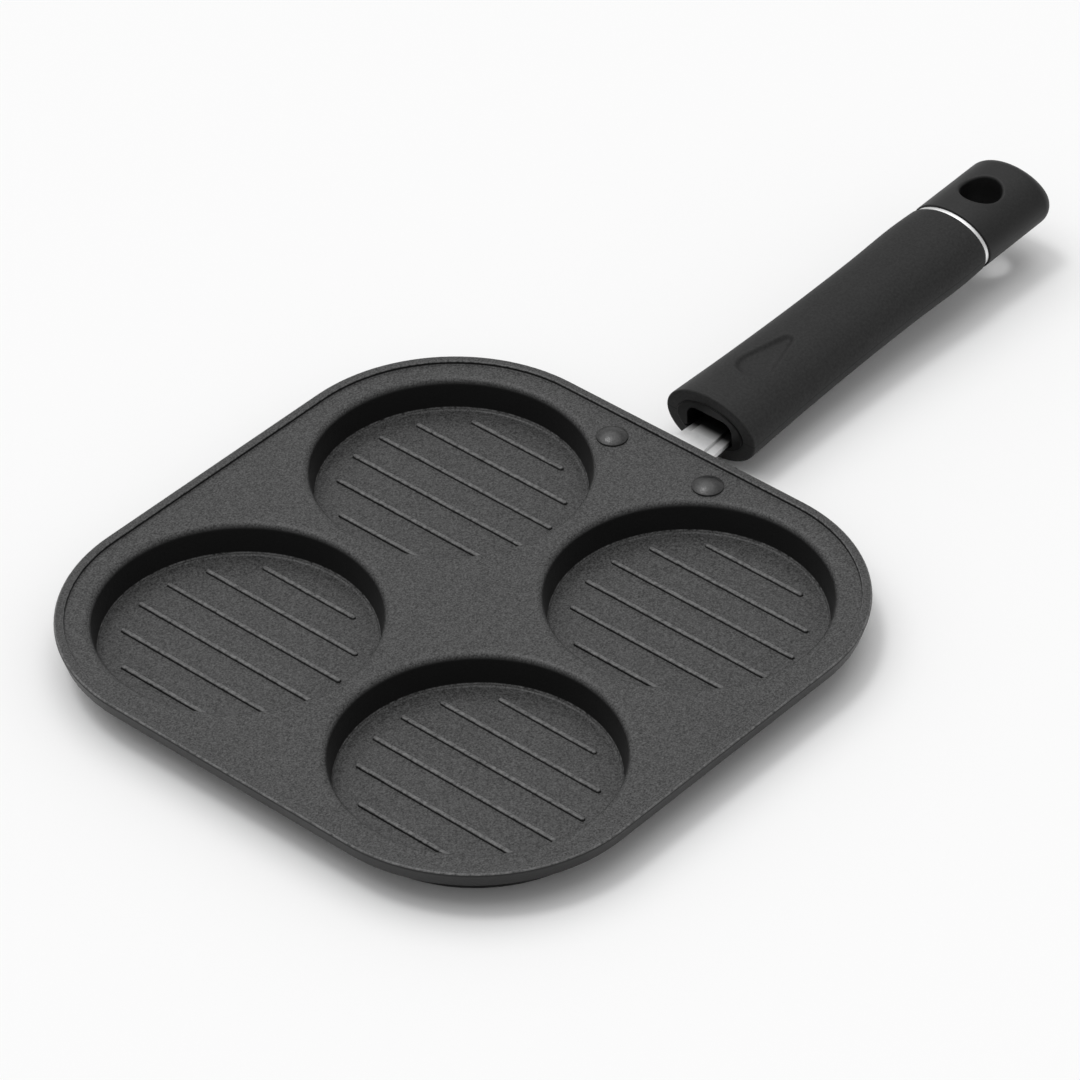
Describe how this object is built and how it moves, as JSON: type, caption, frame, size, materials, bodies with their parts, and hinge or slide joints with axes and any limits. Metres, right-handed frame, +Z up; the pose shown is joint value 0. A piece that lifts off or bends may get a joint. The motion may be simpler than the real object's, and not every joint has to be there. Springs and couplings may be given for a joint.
{
  "type": "multi-cavity griddle pan",
  "caption": "Square cast griddle pan with shallow round ribbed cavities for small pancakes, with a riveted bracket and a soft-grip handle that has a hang hole.",
  "frame": {"origin": "on the surface the pan stands on, under the middle of the whole object's length and width", "axes": "+X along the handle, away from the pan; +Y to the left seen from the pan towards the handle; +Z up, out of the cavities"},
  "size_m": [0.3968, 0.2176, 0.0326],
  "materials": {
    "coated_aluminium": "matte speckled non-stick coating on cast aluminium",
    "rivet_metal": "coated with the pan, satin",
    "bracket_steel": "polished stainless sheet",
    "core_plastic": "hard heat-resistant moulding, satin",
    "grip_skin": "soft-touch matte skin",
    "trim_metal": "bright polished ring",
    "cap_plastic": "hard moulding with the skin's soft sheen",
    "fastener_steel": "plain zinc-coated steel"
  },
  "bodies": {
    "root": {"pan_body": "coated_aluminium", "handle_bracket": "bracket_steel", "rivet_left": "rivet_metal", "rivet_right": "rivet_metal", "threaded_bush": "fastener_steel", "handle_core": "core_plastic", "grip_sleeve": "grip_skin", "trim_ring": "trim_metal", "end_cap": "cap_plastic", "tie_screw": "fastener_steel", "plain_washer": "fastener_steel", "lock_washer": "fastener_steel"}
  },
  "joints": []
}
